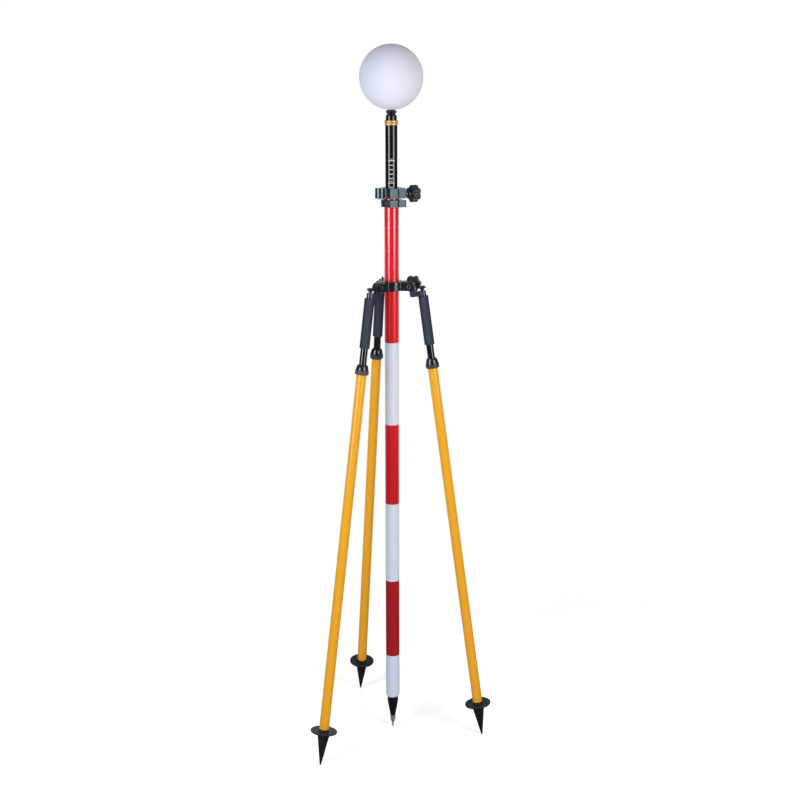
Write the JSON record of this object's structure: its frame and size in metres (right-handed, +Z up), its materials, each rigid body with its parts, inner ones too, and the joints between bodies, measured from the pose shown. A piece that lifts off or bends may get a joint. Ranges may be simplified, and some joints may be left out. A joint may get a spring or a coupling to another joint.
{
  "type": "target sphere on a survey pole tripod",
  "caption": "Matt white target sphere on a red and white telescoping pole with a clamp collar and circular level, held by a tripod with thumb-release telescoping legs.",
  "frame": {"origin": "tip of the pole's steel point, on the ground plane that the three spikes also touch", "axes": "+Z up along the pole, -Y towards the camera, +X to the right in the picture"},
  "size_m": [0.4428, 0.4458, 1.681],
  "materials": {
    "pole_paint": "gloss paint in red and white bands over an aluminium tube",
    "black_anodised": "black anodised, satin gloss",
    "steel": "turned, bright",
    "nylon": "bearing plastic",
    "brass": "turned",
    "vial": "clear vial with yellow-green fluid",
    "knob_plastic": "moulded, half gloss",
    "cap_plastic": "moulded, half gloss",
    "gold_anodised": "gold anodised, satin",
    "sphere_white": "matt white coat",
    "insert": "plain turned",
    "black_steel": "black coated steel",
    "foam": "closed-cell foam",
    "collet": "brake plastic",
    "yellow_paint": "gloss yellow-orange paint over an aluminium tube"
  },
  "bodies": {
    "pole": {"pole_tube": "pole_paint", "point_holder": "black_anodised", "pole_point": "steel", "guide_bush": "nylon", "clamp_collar": "black_anodised", "lower_collar": "black_anodised", "collar_screw": "steel", "level_cup": "brass", "level_vial": "vial", "level_screws": "steel"},
    "clamp_knob": {"clamp_knob": "knob_plastic", "clamp_stud": "steel"},
    "extension": {"inner_tube": "black_anodised", "inner_bush": "nylon", "lock_ring": "gold_anodised", "sphere_adapter": "black_anodised", "target_sphere": "sphere_white", "sphere_insert": "insert"},
    "head": {"head_clamp": "black_anodised", "stud_nut": "black_steel", "pivot_screws": "steel", "hinge_set_screw": "black_steel"},
    "head_knob": {"head_knob": "knob_plastic", "head_stud": "steel"},
    "leg_right": {"leg_hinge_right": "black_anodised", "upper_leg_right": "black_anodised", "grip_right": "foam", "button_spring_right": "steel", "brake_collet_right": "collet"},
    "thumb_right": {"thumb_button_right": "knob_plastic", "release_rod_right": "insert"},
    "lower_leg_right": {"slide_cap_right": "cap_plastic", "lower_leg_right": "yellow_paint", "foot_plate_right": "black_steel", "foot_spike_right": "black_steel"},
    "leg_rear": {"leg_hinge_rear": "black_anodised", "upper_leg_rear": "black_anodised", "grip_rear": "foam", "button_spring_rear": "steel", "brake_collet_rear": "collet"},
    "thumb_rear": {"thumb_button_rear": "knob_plastic", "release_rod_rear": "insert"},
    "lower_leg_rear": {"slide_cap_rear": "cap_plastic", "lower_leg_rear": "yellow_paint", "foot_plate_rear": "black_steel", "foot_spike_rear": "black_steel"},
    "leg_left": {"leg_hinge_left": "black_anodised", "upper_leg_left": "black_anodised", "grip_left": "foam", "button_spring_left": "steel", "brake_collet_left": "collet"},
    "thumb_left": {"thumb_button_left": "knob_plastic", "release_rod_left": "insert"},
    "lower_leg_left": {"slide_cap_left": "cap_plastic", "lower_leg_left": "yellow_paint", "foot_plate_left": "black_steel", "foot_spike_left": "black_steel"}
  },
  "joints": [
    {"name": "pole_extension", "type": "slide", "parent": "pole", "child": "extension", "axis": [0, 0, 1], "range_m": [-0.139, 0.9]},
    {"name": "pole_clamp_knob", "type": "hinge", "parent": "pole", "child": "clamp_knob", "pos_m": [0.01133, -0.01886, 1.348], "axis": [0.8572, 0.515, 0], "range_deg": [0, 360]},
    {"name": "head_slide", "type": "slide", "parent": "pole", "child": "head", "axis": [0, 0, 1], "range_m": [-0.5, 0.16]},
    {"name": "head_clamp_knob", "type": "hinge", "parent": "head", "child": "head_knob", "pos_m": [0.04272, -0.00869, 1.1353], "axis": [0.1994, 0.9799, 0], "range_deg": [0, 360]},
    {"name": "leg_right_swing", "type": "hinge", "parent": "head", "child": "leg_right", "pos_m": [0.04272, -0.00869, 1.1353], "axis": [-0.1994, -0.9799, 0], "range_deg": [-7.9, 30]},
    {"name": "leg_right_extension", "type": "slide", "parent": "leg_right", "child": "lower_leg_right", "axis": [0.1347, -0.0274, -0.9905], "range_m": [-0.03, 0.6]},
    {"name": "thumb_button_right", "type": "slide", "parent": "leg_right", "child": "thumb_right", "axis": [0.1347, -0.0274, -0.9905], "range_m": [0, 0.005], "stiffness_N_per_m": 400, "springref_m": -0.01, "deforming": ["button_spring_right"]},
    {"name": "leg_rear_swing", "type": "hinge", "parent": "head", "child": "leg_rear", "pos_m": [-0.01668, 0.04028, 1.1353], "axis": [0.9239, 0.3827, 0], "range_deg": [-7.9, 30]},
    {"name": "leg_rear_extension", "type": "slide", "parent": "leg_rear", "child": "lower_leg_rear", "axis": [-0.0526, 0.127, -0.9905], "range_m": [-0.03, 0.6]},
    {"name": "thumb_button_rear", "type": "slide", "parent": "leg_rear", "child": "thumb_rear", "axis": [-0.0526, 0.127, -0.9905], "range_m": [0, 0.005], "stiffness_N_per_m": 400, "springref_m": -0.01, "deforming": ["button_spring_rear"]},
    {"name": "leg_left_swing", "type": "hinge", "parent": "head", "child": "leg_left", "pos_m": [-0.02946, -0.03214, 1.1353], "axis": [-0.7373, 0.6756, 0], "range_deg": [-9.4, 30]},
    {"name": "leg_left_extension", "type": "slide", "parent": "leg_left", "child": "lower_leg_left", "axis": [-0.1103, -0.1204, -0.9866], "range_m": [-0.0353, 0.6]},
    {"name": "thumb_button_left", "type": "slide", "parent": "leg_left", "child": "thumb_left", "axis": [-0.1103, -0.1204, -0.9866], "range_m": [0, 0.005], "stiffness_N_per_m": 400, "springref_m": -0.01, "deforming": ["button_spring_left"]}
  ]
}
